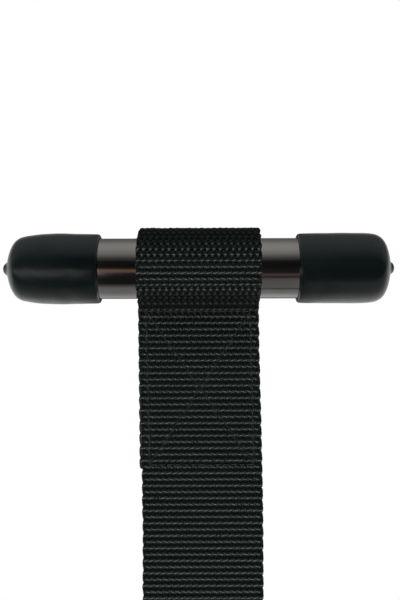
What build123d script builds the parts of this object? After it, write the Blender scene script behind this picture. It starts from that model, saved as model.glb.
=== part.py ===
from build123d import *
import os
from math import acos, asin, cos, degrees, radians, sin, sqrt

# An over-door shoulder pulley. A steel bar with soft vinyl end caps anchors it behind a closed
# door, a webbing strap goes over the door, and a swivel pulley block hangs from the strap's ring.
# The origin is the middle of the bar's axis. The bar lies along X, the strap hangs down along -Z
# and its front faces -Y. The block's axle lies along Y. All sizes are in millimetres.

os.makedirs("parts", exist_ok=True)

# ---------------------------------------------------------------- driving dimensions

# anchor bar: a one-inch tube in dip-moulded vinyl caps
tube_radius = 12.7
tube_wall = 1.2
cap_wall = 2.15
cap_rim_x = 41.3
cap_rim_round = 1.0
cap_shoulder_x = 70.5
cap_shoulder_round = 8.4
nipple_turn = 8
nipple_neck_x = 81.3
nipple_neck_radius = 2.2
nipple_tip_radius = 0.8
bar_half_length = 82.3

# strap: two-inch webbing, looped round the bar and round the ring, each end sewn to itself
strap_width = 50.8
strap_thickness = 2.4
layer_gap = 0.1
throat_radius = 4.0
bar_loop_radius = 15.0
bar_loop_z = 1.1
upper_tail_z = -83.8
first_fold_z = -96.0
second_fold_z = -140.0
fold_clearance = 0.3
ring_loop_radius = 4.2
lower_tail_z = -250.0

# box stitches: thread lying on both faces of the doubled strap
stitch_line = 0.7
stitch_height = 0.4
stitch_width = 44.0
upper_stitch_top_z = -17.5
upper_stitch_bottom_z = -82.8
lower_stitch_top_z = -251.0
lower_stitch_bottom_z = -291.0

# D-ring: round wire, a straight bar in the strap's loop and a half-round bow below it
ring_z = -300.0
ring_wire_radius = 2.5
ring_bow_radius = 29.0
ring_corner_radius = 4.0

# swivel eye: a ring round the bow, with a collared stem riveted under the yoke
eye_wire_radius = 2.25
eye_hole_radius = 6.5
eye_play = 0.3
neck_radius = 3.5
collar_radius = 6.0
collar_height = 2.2
collar_drop = 2.1
stem_radius = 3.0
rivet_head_radius = 4.75
rivet_head_height = 2.2
running_clearance = 0.05

# pulley block
axle_z = -390.0
yoke_width = 15.0
yoke_thickness = 2.5
yoke_bend_radius = 2.5
washer_height = 1.0
washer_radius = 6.0
cheek_inner_y = 6.3
cheek_thickness = 1.5
cheek_radius = 23.0
spacer_x = 11.0
spacer_rise = 24.5
spacer_radius = 2.5
spacer_rivet_radius = 1.5
spacer_margin = 5.5
axle_radius = 3.0
bolt_across_flats = 10.0
bolt_head_height = 4.0
lock_washer_height = 1.2
lock_washer_radius = 5.0
nut_height = 4.0
bolt_tail = 1.5
thrust_washer_height = 0.5
thrust_washer_radius = 8.0

# sheave: grooved for rope of about 6.5 mm
sheave_radius = 20.0
sheave_half_width = 5.5
groove_radius = 3.4
groove_depth = 4.5
groove_mouth = 4.3
bush_radius = 5.0
hub_radius = 8.5
rim_inner_radius = 13.5
web_recess = 1.5

# ---------------------------------------------------------------- worked-out places

cap_radius = tube_radius + cap_wall
layer_y = (strap_thickness + layer_gap) / 2
strap_face_y = layer_y + strap_thickness / 2
bow_center_z = ring_z - ring_corner_radius
bow_bottom_z = bow_center_z - ring_bow_radius
eye_z = bow_bottom_z + ring_wire_radius + eye_play - eye_hole_radius
eye_ring_radius = eye_hole_radius + eye_wire_radius
collar_top_z = eye_z - eye_ring_radius - eye_wire_radius - collar_drop
bridge_top_z = collar_top_z - collar_height - eye_play
bridge_bottom_z = bridge_top_z - yoke_thickness
washer_top_z = bridge_bottom_z - eye_play
rivet_top_z = washer_top_z - washer_height
cheek_outer_y = cheek_inner_y + cheek_thickness
yoke_outer_y = cheek_outer_y + yoke_thickness
spacer_z = axle_z + spacer_rise
axle_line = Axis((0, 0, axle_z), (0, 1, 0))


def fold_route(center_z, radius, up):
    """Draws the strap's centreline round a bar at center_z, with the arcs of its throat.

    up is 1 for a loop above its doubled stretch and -1 for one below it. Returns the height
    where the two layers become straight."""
    reach = layer_y + throat_radius
    spread = radius + throat_radius
    throat_z = center_z - up * sqrt(spread**2 - reach**2)
    lean = up * degrees(acos(reach / spread))
    CenterArc((reach, throat_z), throat_radius, 180, -lean)
    CenterArc((0, center_z), radius, -lean, up * 180 + 2 * lean)
    CenterArc((-reach, throat_z), throat_radius, 0, lean)
    return throat_z


def box_stitch(top_z, bottom_z):
    """A stitched box with its two diagonals, drawn on the sketch plane in hand."""
    height = top_z - bottom_z
    diagonal = sqrt(stitch_width**2 + height**2)
    slope = degrees(acos(stitch_width / diagonal))
    with Locations((0, (top_z + bottom_z) / 2)):
        Rectangle(stitch_width, height)
        Rectangle(stitch_width - 2 * stitch_line, height - 2 * stitch_line, mode=Mode.SUBTRACT)
        Rectangle(diagonal - 2 * stitch_line, stitch_line, rotation=slope)
        Rectangle(diagonal - 2 * stitch_line, stitch_line, rotation=-slope)


# ---------------------------------------------------------------- anchor bar

# Plated steel tube; its open ends stop where the caps start to round over.
with BuildPart() as anchor_tube:
    with BuildSketch(Plane.YZ):
        Circle(tube_radius)
        Circle(tube_radius - tube_wall, mode=Mode.SUBTRACT)
    extrude(amount=cap_shoulder_x, both=True)
anchor_tube.part.label = "anchor_tube"
export_step(anchor_tube.part, "parts/anchor_tube.step")

# Soft vinyl cap: an even wall with a rounded end that rises to the nipple that dipping leaves.
with BuildPart() as end_cap_right:
    with BuildSketch(Plane.XZ):
        with BuildLine():
            round_foot = cap_radius - cap_shoulder_round
            end_x = cap_shoulder_x + cap_shoulder_round
            inner_end_x = end_x - cap_wall
            nipple_foot_x = cap_shoulder_x + cap_shoulder_round * cos(radians(nipple_turn))
            nipple_foot = round_foot + cap_shoulder_round * sin(radians(nipple_turn))
            Polyline(
                (cap_rim_x, cap_radius - cap_rim_round),
                (cap_rim_x, tube_radius),
                (cap_shoulder_x, tube_radius),
            )
            CenterArc((cap_shoulder_x, round_foot), cap_shoulder_round - cap_wall, 90, -90)
            Polyline(
                (inner_end_x, round_foot),
                (inner_end_x, 0),
                (bar_half_length, 0),
                (bar_half_length, nipple_tip_radius),
                (nipple_neck_x, nipple_neck_radius),
                (nipple_foot_x, nipple_foot),
            )
            CenterArc(
                (cap_shoulder_x, round_foot), cap_shoulder_round, nipple_turn, 90 - nipple_turn
            )
            Line((cap_shoulder_x, cap_radius), (cap_rim_x + cap_rim_round, cap_radius))
            CenterArc(
                (cap_rim_x + cap_rim_round, cap_radius - cap_rim_round), cap_rim_round, 90, 90
            )
        make_face()
    revolve(axis=Axis.X)
end_cap_right.part.label = "end_cap_right"
export_step(end_cap_right.part, "parts/end_cap_right.step")

with BuildPart() as end_cap_left:
    mirror(end_cap_right.part, about=Plane.YZ)
end_cap_left.part.label = "end_cap_left"
export_step(end_cap_left.part, "parts/end_cap_left.step")

# ---------------------------------------------------------------- strap

# Upper stretch: the tail sewn behind, the loop round the bar, and the front layer down to the
# fold over the door's back edge.
with BuildPart() as strap_upper:
    with BuildSketch(Plane.YZ):
        with BuildLine():
            upper_throat_z = fold_route(bar_loop_z, bar_loop_radius, 1)
            Line((layer_y, upper_tail_z), (layer_y, upper_throat_z))
            Line((-layer_y, upper_throat_z), (-layer_y, first_fold_z))
        trace(line_width=strap_thickness)
        with Locations((-layer_y, first_fold_z)):
            Circle(strap_thickness / 2)
    extrude(amount=strap_width / 2, both=True)
strap_upper.part.label = "strap_upper"
export_step(strap_upper.part, "parts/strap_upper.step")

# Middle stretch: the single layer that lies on top of the door.
with BuildPart() as strap_middle:
    with BuildSketch(Plane.YZ):
        with BuildLine():
            middle_top_z = first_fold_z - strap_thickness / 2 - fold_clearance
            Line((-layer_y, middle_top_z), (-layer_y, second_fold_z))
        trace(line_width=strap_thickness)
        with Locations((-layer_y, second_fold_z)):
            Circle(strap_thickness / 2)
    extrude(amount=strap_width / 2, both=True)
strap_middle.part.label = "strap_middle"
export_step(strap_middle.part, "parts/strap_middle.step")

# Lower stretch: from the fold over the door's front edge to the sewn loop that holds the ring.
with BuildPart() as strap_lower:
    with BuildSketch(Plane.YZ):
        with BuildLine():
            lower_top_z = second_fold_z - strap_thickness / 2 - fold_clearance
            lower_throat_z = fold_route(ring_z, ring_loop_radius, -1)
            Line((layer_y, lower_tail_z), (layer_y, lower_throat_z))
            Line((-layer_y, lower_throat_z), (-layer_y, lower_top_z))
        trace(line_width=strap_thickness)
    extrude(amount=strap_width / 2, both=True)
strap_lower.part.label = "strap_lower"
export_step(strap_lower.part, "parts/strap_lower.step")

# Thread of the two box stitches, on the front and the back of each doubled stretch.
with BuildPart() as upper_box_stitch:
    with BuildSketch(Plane.XZ.offset(strap_face_y)):
        box_stitch(upper_stitch_top_z, upper_stitch_bottom_z)
    extrude(amount=stitch_height)
    mirror(about=Plane.XZ)
upper_box_stitch.part.label = "upper_box_stitch"
export_step(upper_box_stitch.part, "parts/upper_box_stitch.step")

with BuildPart() as lower_box_stitch:
    with BuildSketch(Plane.XZ.offset(strap_face_y)):
        box_stitch(lower_stitch_top_z, lower_stitch_bottom_z)
    extrude(amount=stitch_height)
    mirror(about=Plane.XZ)
lower_box_stitch.part.label = "lower_box_stitch"
export_step(lower_box_stitch.part, "parts/lower_box_stitch.step")

# ---------------------------------------------------------------- D-ring

# Welded wire ring. The bow is a half circle about a point just under the straight bar.
with BuildPart() as d_ring:
    corner_x = ring_bow_radius - ring_corner_radius
    with BuildLine(Plane.XZ):
        Line((-corner_x, ring_z), (corner_x, ring_z))
        CenterArc((corner_x, bow_center_z), ring_corner_radius, 90, -90)
        CenterArc((0, bow_center_z), ring_bow_radius, 0, -180)
        CenterArc((-corner_x, bow_center_z), ring_corner_radius, 180, -90)
    with BuildSketch(Plane(origin=(-corner_x, 0, ring_z), z_dir=(1, 0, 0))):
        Circle(ring_wire_radius)
    sweep()
d_ring.part.label = "d_ring"
export_step(d_ring.part, "parts/d_ring.step")

# ---------------------------------------------------------------- swivel eye

# Forged eye round the ring's bow, with a neck, a collar and a stem that is riveted over.
with BuildPart() as swivel_eye:
    with BuildSketch(Plane.XY.offset(eye_z)):
        with Locations((0, eye_ring_radius)):
            Circle(eye_wire_radius)
    revolve(axis=Axis((0, 0, eye_z), (1, 0, 0)))
    with BuildSketch(Plane.XZ):
        with BuildLine():
            neck_top_z = eye_z - eye_ring_radius
            stem_bottom_z = rivet_top_z - rivet_head_height
            dome_radius = (rivet_head_radius**2 / rivet_head_height + rivet_head_height) / 2
            dome_angle = degrees(asin(rivet_head_radius / dome_radius))
            Polyline(
                (0, neck_top_z),
                (eye_wire_radius - 0.4, neck_top_z),
                (neck_radius, collar_top_z + 0.8),
                (collar_radius - 0.5, collar_top_z),
                (collar_radius, collar_top_z - 0.5),
                (collar_radius, collar_top_z - collar_height),
                (stem_radius, collar_top_z - collar_height),
                (stem_radius, rivet_top_z),
                (rivet_head_radius, rivet_top_z),
            )
            CenterArc((0, stem_bottom_z + dome_radius), dome_radius, 270, dome_angle)
            Line((0, stem_bottom_z), (0, neck_top_z))
        make_face()
    revolve(axis=Axis.Z)
swivel_eye.part.label = "swivel_eye"
export_step(swivel_eye.part, "parts/swivel_eye.step")

# Washer between the yoke and the riveted end of the stem.
with BuildPart() as swivel_washer:
    with BuildSketch(Plane.XY.offset(rivet_top_z)):
        Circle(washer_radius)
        Circle(stem_radius, mode=Mode.SUBTRACT)
    extrude(amount=washer_height)
swivel_washer.part.label = "swivel_washer"
export_step(swivel_washer.part, "parts/swivel_washer.step")

# ---------------------------------------------------------------- pulley block

# Yoke: a steel strip bent into an inverted U. The stem turns in its bridge.
with BuildPart() as yoke:
    with BuildSketch(Plane.YZ):
        with BuildLine():
            arm_y = yoke_outer_y - yoke_thickness / 2
            arm_end_z = axle_z - yoke_width / 2
            bridge_z = (bridge_top_z + bridge_bottom_z) / 2
            FilletPolyline(
                (-arm_y, arm_end_z),
                (-arm_y, bridge_z),
                (arm_y, bridge_z),
                (arm_y, arm_end_z),
                radius=yoke_bend_radius,
            )
        trace(line_width=yoke_thickness)
    extrude(amount=yoke_width / 2, both=True)
    with BuildSketch(Plane.XZ):
        with Locations((0, axle_z)):
            Circle(yoke_width / 2)
            Rectangle(yoke_width, bridge_top_z - axle_z, align=(Align.CENTER, Align.MIN))
    extrude(amount=yoke_outer_y, both=True, mode=Mode.INTERSECT)
    with BuildSketch(Plane.XZ):
        with Locations((0, axle_z)):
            Circle(axle_radius)
    extrude(amount=yoke_outer_y, both=True, mode=Mode.SUBTRACT)
    with BuildSketch(Plane.XY.offset(bridge_bottom_z)):
        Circle(stem_radius + running_clearance)
    extrude(amount=yoke_thickness, mode=Mode.SUBTRACT)
yoke.part.label = "yoke"
export_step(yoke.part, "parts/yoke.step")

# Cheeks: stamped side plates that keep the rope on the sheave.
with BuildPart() as cheek_front:
    with BuildSketch(Plane.XZ.offset(cheek_inner_y)):
        with Locations((0, axle_z)):
            Circle(cheek_radius)
        with Locations((-spacer_x, spacer_z), (spacer_x, spacer_z)):
            Circle(spacer_margin)
        make_hull()
        with Locations((0, axle_z)):
            Circle(axle_radius, mode=Mode.SUBTRACT)
        with Locations((-spacer_x, spacer_z), (spacer_x, spacer_z)):
            Circle(spacer_rivet_radius, mode=Mode.SUBTRACT)
    extrude(amount=cheek_thickness)
cheek_front.part.label = "cheek_front"
export_step(cheek_front.part, "parts/cheek_front.step")

with BuildPart() as cheek_rear:
    mirror(cheek_front.part, about=Plane.XZ)
cheek_rear.part.label = "cheek_rear"
export_step(cheek_rear.part, "parts/cheek_rear.step")

# Spacers: a tube on each upper rivet holds the cheeks apart.
with BuildPart() as spacer_sleeves:
    with BuildSketch(Plane.XZ):
        with Locations((-spacer_x, spacer_z), (spacer_x, spacer_z)):
            Circle(spacer_radius)
            Circle(spacer_rivet_radius, mode=Mode.SUBTRACT)
    extrude(amount=cheek_inner_y, both=True)
spacer_sleeves.part.label = "spacer_sleeves"
export_step(spacer_sleeves.part, "parts/spacer_sleeves.step")

with BuildPart() as spacer_rivets:
    head_height = spacer_rivet_radius
    with BuildSketch(Plane.XZ):
        with Locations((-spacer_x, spacer_z), (spacer_x, spacer_z)):
            Circle(spacer_rivet_radius)
    extrude(amount=cheek_outer_y, both=True)
    with BuildSketch(Plane.XZ.offset(cheek_outer_y)):
        with Locations((-spacer_x, spacer_z), (spacer_x, spacer_z)):
            Circle(spacer_radius)
    extrude(amount=head_height, taper=30)
    mirror(about=Plane.XZ)
spacer_rivets.part.label = "spacer_rivets"
export_step(spacer_rivets.part, "parts/spacer_rivets.step")

# Axle: a hex bolt through both arms, with a spring washer and a nut behind.
with BuildPart() as axle_bolt:
    lock_washer_y = yoke_outer_y + lock_washer_height
    bolt_end_y = lock_washer_y + nut_height + bolt_tail
    with BuildSketch(Plane.XZ.offset(yoke_outer_y)):
        with Locations((0, axle_z)):
            RegularPolygon(bolt_across_flats / 2, 6, major_radius=False)
    extrude(amount=bolt_head_height)
    chamfer(axle_bolt.faces().sort_by(Axis.Y)[0].edges(), 0.5)
    with BuildSketch(Plane.XZ.offset(yoke_outer_y)):
        with Locations((0, axle_z)):
            Circle(axle_radius)
    extrude(amount=-(yoke_outer_y + bolt_end_y))
    chamfer(axle_bolt.faces().sort_by(Axis.Y)[-1].edges(), 0.5)
axle_bolt.part.label = "axle_bolt"
export_step(axle_bolt.part, "parts/axle_bolt.step")

with BuildPart() as axle_lock_washer:
    with BuildSketch(Plane.XZ.offset(-lock_washer_y)):
        with Locations((0, axle_z)):
            Circle(lock_washer_radius)
            Circle(axle_radius, mode=Mode.SUBTRACT)
        with Locations((lock_washer_radius, axle_z)):
            Rectangle(lock_washer_radius, 0.8, mode=Mode.SUBTRACT)
    extrude(amount=lock_washer_height)
axle_lock_washer.part.label = "axle_lock_washer"
export_step(axle_lock_washer.part, "parts/axle_lock_washer.step")

with BuildPart() as axle_nut:
    with BuildSketch(Plane.XZ.offset(-lock_washer_y)):
        with Locations((0, axle_z)):
            RegularPolygon(bolt_across_flats / 2, 6, major_radius=False)
            Circle(axle_radius, mode=Mode.SUBTRACT)
    extrude(amount=-nut_height)
axle_nut.part.label = "axle_nut"
export_step(axle_nut.part, "parts/axle_nut.step")

# Thrust washers: thin rings between each cheek and the sheave's hub.
with BuildPart() as thrust_washer_front:
    with BuildSketch(Plane.XZ.offset(cheek_inner_y - thrust_washer_height)):
        with Locations((0, axle_z)):
            Circle(thrust_washer_radius)
            Circle(axle_radius, mode=Mode.SUBTRACT)
    extrude(amount=thrust_washer_height)
thrust_washer_front.part.label = "thrust_washer_front"
export_step(thrust_washer_front.part, "parts/thrust_washer_front.step")

with BuildPart() as thrust_washer_rear:
    mirror(thrust_washer_front.part, about=Plane.XZ)
thrust_washer_rear.part.label = "thrust_washer_rear"
export_step(thrust_washer_rear.part, "parts/thrust_washer_rear.step")

# ---------------------------------------------------------------- sheave

# Moulded wheel with a round rope groove and a recessed web on each side.
with BuildPart() as sheave:
    groove_center = sheave_radius - groove_depth + groove_radius
    web_y = sheave_half_width - web_recess
    with BuildSketch(Plane.XY.offset(axle_z)):
        with BuildLine():
            Polyline(
                (groove_center - groove_radius, 0),
                (bush_radius, 0),
                (bush_radius, sheave_half_width),
                (hub_radius, sheave_half_width),
                (hub_radius + 0.5, web_y),
                (rim_inner_radius - 0.5, web_y),
                (rim_inner_radius, sheave_half_width),
                (sheave_radius - 0.5, sheave_half_width),
                (sheave_radius, sheave_half_width - 0.5),
                (sheave_radius, groove_mouth),
                (groove_center, groove_radius),
            )
            CenterArc((groove_center, 0), groove_radius, 90, 90)
        make_face()
        mirror(about=Plane.XZ)
    revolve(axis=axle_line)
sheave.part.label = "sheave"
export_step(sheave.part, "parts/sheave.step")

# Plain bearing pressed into the wheel, running on the bolt.
with BuildPart() as sheave_bush:
    with BuildSketch(Plane.XZ):
        with Locations((0, axle_z)):
            Circle(bush_radius)
            Circle(axle_radius + running_clearance, mode=Mode.SUBTRACT)
    extrude(amount=sheave_half_width, both=True)
sheave_bush.part.label = "sheave_bush"
export_step(sheave_bush.part, "parts/sheave_bush.step")
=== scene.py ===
from math import acos, cos, degrees, hypot, pi, radians, sin, sqrt

import bpy
import numpy as np
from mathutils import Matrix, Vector


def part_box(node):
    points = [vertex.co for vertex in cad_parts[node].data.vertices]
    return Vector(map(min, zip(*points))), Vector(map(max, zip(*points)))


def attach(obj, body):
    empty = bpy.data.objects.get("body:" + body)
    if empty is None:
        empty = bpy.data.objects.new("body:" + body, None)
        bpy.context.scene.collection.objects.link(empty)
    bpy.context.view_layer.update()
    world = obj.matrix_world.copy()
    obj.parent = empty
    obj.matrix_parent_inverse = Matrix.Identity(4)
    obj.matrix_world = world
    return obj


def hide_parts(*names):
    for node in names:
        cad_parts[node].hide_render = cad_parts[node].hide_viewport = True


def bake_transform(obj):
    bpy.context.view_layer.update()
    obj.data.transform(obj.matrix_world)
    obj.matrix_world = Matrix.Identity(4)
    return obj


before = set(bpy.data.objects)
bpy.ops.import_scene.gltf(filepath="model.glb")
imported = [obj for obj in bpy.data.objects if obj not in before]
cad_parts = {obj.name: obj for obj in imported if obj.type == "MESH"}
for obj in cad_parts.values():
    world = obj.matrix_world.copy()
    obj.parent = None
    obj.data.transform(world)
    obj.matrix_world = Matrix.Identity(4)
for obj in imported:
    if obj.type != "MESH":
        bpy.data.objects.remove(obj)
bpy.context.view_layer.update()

# ---------------------------------------------------------------- anchor tube
# The bar's core is a one-inch steel tube with a bright dark-nickel plating. It was drawn and
# polished along its length, so it keeps a few faint lengthwise lines. Both ends are open inside
# the caps.
mm = 0.001


class Wire:
    """A shader socket that can be used in sums."""

    def __init__(self, finish, socket):
        self.finish, self.socket = finish, socket

    def maths(self, operation, first, second):
        return self.finish.node("Math", {"operation": operation}, {0: first, 1: second})

    def __add__(self, other):
        return self.maths("ADD", self, other)

    def __sub__(self, other):
        return self.maths("SUBTRACT", self, other)

    def __rsub__(self, other):
        return self.maths("SUBTRACT", other, self)

    def __mul__(self, other):
        return self.maths("MULTIPLY", self, other)

    def __truediv__(self, other):
        return self.maths("DIVIDE", self, other)

    def __pow__(self, other):
        return self.maths("POWER", self, other)

    __radd__ = __add__


class Finish:
    """A material built from nodes. shader() adds its surface."""

    def __init__(self, name):
        self.material = bpy.data.materials.new(name)
        self.material.use_nodes = True
        self.tree = self.material.node_tree
        self.tree.nodes.clear()

    def node(self, kind, settings=None, sockets=None, output=0):
        """Adds a node. Its settings are set first, and then the values or wires of its sockets."""
        made = self.tree.nodes.new("ShaderNode" + kind)
        for key, value in (settings or {}).items():
            if key == "stops":
                elements = made.color_ramp.elements
                while len(elements) < len(value):
                    elements.new(0.5)
                for element, (place, shade) in zip(elements, value):
                    element.position = place
                    level = (shade,) * 3 if isinstance(shade, (int, float)) else shade
                    element.color = (*level, 1)
            else:
                setattr(made, key, value)
        for key, value in (sockets or {}).items():
            if isinstance(value, Wire):
                self.tree.links.new(value.socket, made.inputs[key])
            else:
                made.inputs[key].default_value = value
        return Wire(self, made.outputs[output]) if made.outputs else None

    def place(self, scale=(1, 1, 1)):
        """The point on the piece in metres, stretched by scale."""
        point = self.node("TexCoord", output="Object")
        return self.node("Mapping", {}, {"Vector": point, "Scale": scale})

    def noise(self, scale, stretch=(1, 1, 1), detail=3.0):
        """Smooth noise from about 0.25 to 0.75, with scale features a metre."""
        sockets = {"Vector": self.place(stretch), "Scale": scale, "Detail": detail}
        return self.node("TexNoise", {}, sockets)

    def ramp(self, factor, *stops):
        return self.node("ValToRGB", {"stops": stops}, {0: factor})

    def bump(self, height, depth, strength=1.0):
        sockets = {"Strength": strength, "Distance": depth, "Height": height}
        return self.node("Bump", {}, sockets)

    def shader(self, **sockets):
        """The surface. A socket's name is written with underscores for its spaces."""
        named = {key.replace("_", " "): value for key, value in sockets.items()}
        surface = self.node("BsdfPrincipled", {}, named)
        self.node("OutputMaterial", {}, {"Surface": surface})
        return self.material


def plating(name, light, dark, rough, grain):
    """Polished plating: cloudy tone, uneven gloss and fine lines along the grain."""
    finish = Finish(name)
    clouds = finish.noise(90)
    lines = finish.noise(900, grain, 2.0)
    tone = finish.ramp(clouds * 0.6 + lines * 0.4, (0.35, dark), (0.65, light))
    gloss = rough + (clouds - 0.5) * 0.12 + (lines - 0.5) * 0.1
    normal = finish.bump(lines, 0.004 * mm)
    return finish.shader(Base_Color=tone, Metallic=1.0, Roughness=gloss, Normal=normal)


def edit(everything=True):
    """Opens the active piece for editing, with all or nothing of it selected."""
    bpy.ops.object.mode_set(mode="EDIT")
    bpy.ops.mesh.select_all(action="SELECT" if everything else "DESELECT")


def lathe(name, axis, center, stations, hollow=False, sides=64):
    """Turns a round piece as on a lathe: a circle drawn on through (place, radius) stations.

    axis is X, Y or Z. The places are measured along it from center. A hollow piece's last
    station meets its first."""
    bpy.ops.object.select_all(action="DESELECT")
    along = Vector([float(letter == axis) for letter in "XYZ"])
    place, radius = stations[0]
    turned = {"X": (0, pi / 2, 0), "Y": (-pi / 2, 0, 0), "Z": (0, 0, 0)}[axis]
    bpy.ops.mesh.primitive_circle_add(
        vertices=sides, radius=radius, location=Vector(center) + along * place, rotation=turned
    )
    piece = bpy.context.object
    piece.name = piece.data.name = name
    bpy.ops.object.transform_apply(location=True, rotation=True, scale=True)
    edit()
    if not hollow:
        bpy.ops.mesh.edge_face_add()
    for new_place, new_radius in stations[1:]:
        step = along * (new_place - place)
        middle = Vector(center) + along * new_place
        grow = [1 if part else new_radius / radius for part in along]
        if hollow:
            bpy.ops.mesh.extrude_edges_move(TRANSFORM_OT_translate={"value": step})
        else:
            bpy.ops.mesh.extrude_region_move(TRANSFORM_OT_translate={"value": step})
        bpy.ops.transform.resize(value=grow, center_override=middle)
        place, radius = new_place, new_radius
    bpy.ops.mesh.select_all(action="SELECT")
    bpy.ops.mesh.remove_doubles(threshold=0.002 * mm)
    bpy.ops.mesh.normals_make_consistent(inside=False)
    bpy.ops.object.mode_set(mode="OBJECT")
    return piece


def finish_piece(piece, material, body, slot, *nodes, bevel=0.0, round_levels=0, sharp=35):
    """Bevels or rounds a piece, shades it, gives it its material and body, and hides the nodes it
    replaces. slot is not used.
    """
    bpy.ops.object.select_all(action="DESELECT")
    bpy.context.view_layer.objects.active = piece
    piece.select_set(True)
    if bevel:
        modifier = piece.modifiers.new("Bevel", "BEVEL")
        modifier.width, modifier.segments = bevel, 2
        modifier.limit_method, modifier.angle_limit = "ANGLE", radians(30)
        bpy.ops.object.modifier_apply(modifier="Bevel")
    if round_levels:
        modifier = piece.modifiers.new("Round", "SUBSURF")
        modifier.levels = modifier.render_levels = round_levels
        bpy.ops.object.modifier_apply(modifier="Round")
    bpy.ops.object.shade_smooth_by_angle(angle=radians(sharp))
    piece.data.materials.clear()
    piece.data.materials.append(material)
    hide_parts(*nodes)
    if body:
        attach(piece, body)


tube_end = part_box("anchor_tube")[1].x
tube_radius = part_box("anchor_tube")[1].y
tube_wall = 1.2 * mm
tube_bore = tube_radius - tube_wall
edge_band = 1 * mm
tube = lathe(
    "polished_tube",
    "X",
    (0, 0, 0),
    [
        (-tube_end, tube_bore),
        (tube_end, tube_bore),
        (tube_end, tube_radius),
        (tube_end - edge_band, tube_radius),
        (edge_band - tube_end, tube_radius),
        (-tube_end, tube_radius),
        (-tube_end, tube_bore),
    ],
    hollow=True,
    sides=160,
)
dark_nickel = plating(
    "dark_nickel", (0.52, 0.50, 0.475), (0.46, 0.44, 0.42), 0.1, (0.03, 1, 1)
)
finish_piece(tube, dark_nickel, "bar", "polished_steel", "anchor_tube", bevel=0.3 * mm)

# ---------------------------------------------------------------- end caps
# Soft black vinyl caps, made by dipping a former in liquid vinyl. The skin is a little wavy, the
# rim is rolled over, and the last drop leaves a nipple on the closed end. They are pushed on.
vinyl = Finish("dipped_vinyl")
skin_waves = vinyl.noise(110, detail=1.0)
skin_grain = vinyl.noise(1500, detail=2.0)
smears = vinyl.noise(60, (0.5, 1, 1.6), 4.0)
vinyl_tone = vinyl.ramp(
    smears, (0.35, (0.0018, 0.0055, 0.0060)), (0.7, (0.0042, 0.0090, 0.0100))
)
vinyl_normal = vinyl.bump(skin_waves + skin_grain * 0.05, 0.25 * mm, 0.5)
dipped_vinyl = vinyl.shader(
    Base_Color=vinyl_tone,
    Roughness=0.24 + (smears - 0.5) * 0.3 + (skin_grain - 0.5) * 0.1,
    Normal=vinyl_normal,
    IOR=1.5,
)

cap_rim, cap_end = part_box("end_cap_right")[0].x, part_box("end_cap_right")[1].x
cap_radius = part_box("end_cap_right")[1].y


def end_cap(name, side, rim_radius, dome, wave, node):
    """One cap: the inner wall from its closed end to the rim, then the outside to the nipple.

    dome is (distance from the tip, radius) from the full width to the tip, in millimetres."""
    bore = tube_radius + 0.03 * mm
    outline = [
        (tube_end + 0.6 * mm, 2 * mm),
        (tube_end + 0.6 * mm, bore - 0.8 * mm),
        (tube_end, bore),
        (cap_rim + 6 * mm, bore),
        (cap_rim + 0.5 * mm, bore),
        (cap_rim, bore + 0.45 * mm),
        (cap_rim, rim_radius - 0.7 * mm),
        (cap_rim + 0.25 * mm, rim_radius - 0.25 * mm),
        (cap_rim + 1.0 * mm, rim_radius),
        (cap_rim + 4 * mm, rim_radius + (cap_radius - rim_radius) * 0.3),
        (cap_rim + 10 * mm, cap_radius - (cap_radius - rim_radius) * 0.3),
        (cap_rim + 16 * mm, cap_radius),
    ]
    outline += [(cap_end - drop * mm, radius * mm) for drop, radius in dome]
    cap = lathe(name, "X", (0, 0, 0), [(side * x, r) for x, r in outline], sides=48)
    finish_piece(cap, dipped_vinyl, None, "black_vinyl", node, round_levels=2, sharp=80)
    waves = bpy.data.textures.new(name + "_waves", "CLOUDS")
    waves.noise_scale = 13 * mm
    modifier = cap.modifiers.new("Waves", "DISPLACE")
    modifier.texture, modifier.texture_coords = waves, "GLOBAL"
    modifier.strength, modifier.mid_level = wave, 0.5
    outside = cap.vertex_groups.new(name="outside")
    skin = [v.index for v in cap.data.vertices if hypot(v.co.y, v.co.z) > bore + 0.9 * mm]
    outside.add(skin, 1.0, "REPLACE")
    modifier.vertex_group = "outside"
    bpy.ops.object.modifier_apply(modifier="Waves")
    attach(cap, "bar")


end_cap(
    "vinyl_cap_left",
    -1,
    cap_radius - 0.15 * mm,
    [(17, 14.8), (14, 14.5), (11.4, 14.15), (8.8, 13.6), (7.1, 12.9), (5.5, 11.7), (3.9, 9.0),
     (3.0, 6.3), (2.4, 4.2), (1.9, 3.0), (1.1, 2.4), (0.4, 1.7), (0.05, 0.8), (0, 0.3)],
    0.5 * mm,
    "end_cap_left",
)
end_cap(
    "vinyl_cap_right",
    1,
    cap_radius - 0.2 * mm,
    [(14, 14.85), (10.8, 14.75), (8.3, 14.35), (6.7, 13.6), (5.3, 12.5), (4.2, 10.7), (3.3, 8.2),
     (2.6, 5.7), (2.2, 4.0), (1.8, 2.9), (1.0, 2.4), (0.35, 1.7), (0.05, 0.8), (0, 0.3)],
    0.3 * mm,
    "end_cap_right",
)

# ---------------------------------------------------------------- webbing strap
# Two-inch black webbing in a coarse plain weave: 39 lengthwise ends that pass over and under one
# crosswise pick after another. The upper length is looped round the bar and doubled behind, and
# the lower one goes on to the ring. They meet where the strap lies on top of the door.
end_pitch = 1.283 * mm
side_ends = 19
pick_pitch = 2.626 * mm
layer_y = 1.25 * mm
half_thickness = 1.2 * mm
throat_radius = 4 * mm
loop_radius = 15 * mm
ring_z = -300 * mm
loop_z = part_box("strap_upper")[1].z - half_thickness - loop_radius
ring_loop_radius = ring_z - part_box("strap_lower")[0].z - half_thickness
upper_tail_z = -83.8 * mm
lower_tail_z = -250 * mm
join_z = -30.5 * mm - 34.5 * pick_pitch
random = np.random.default_rng(11)


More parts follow.
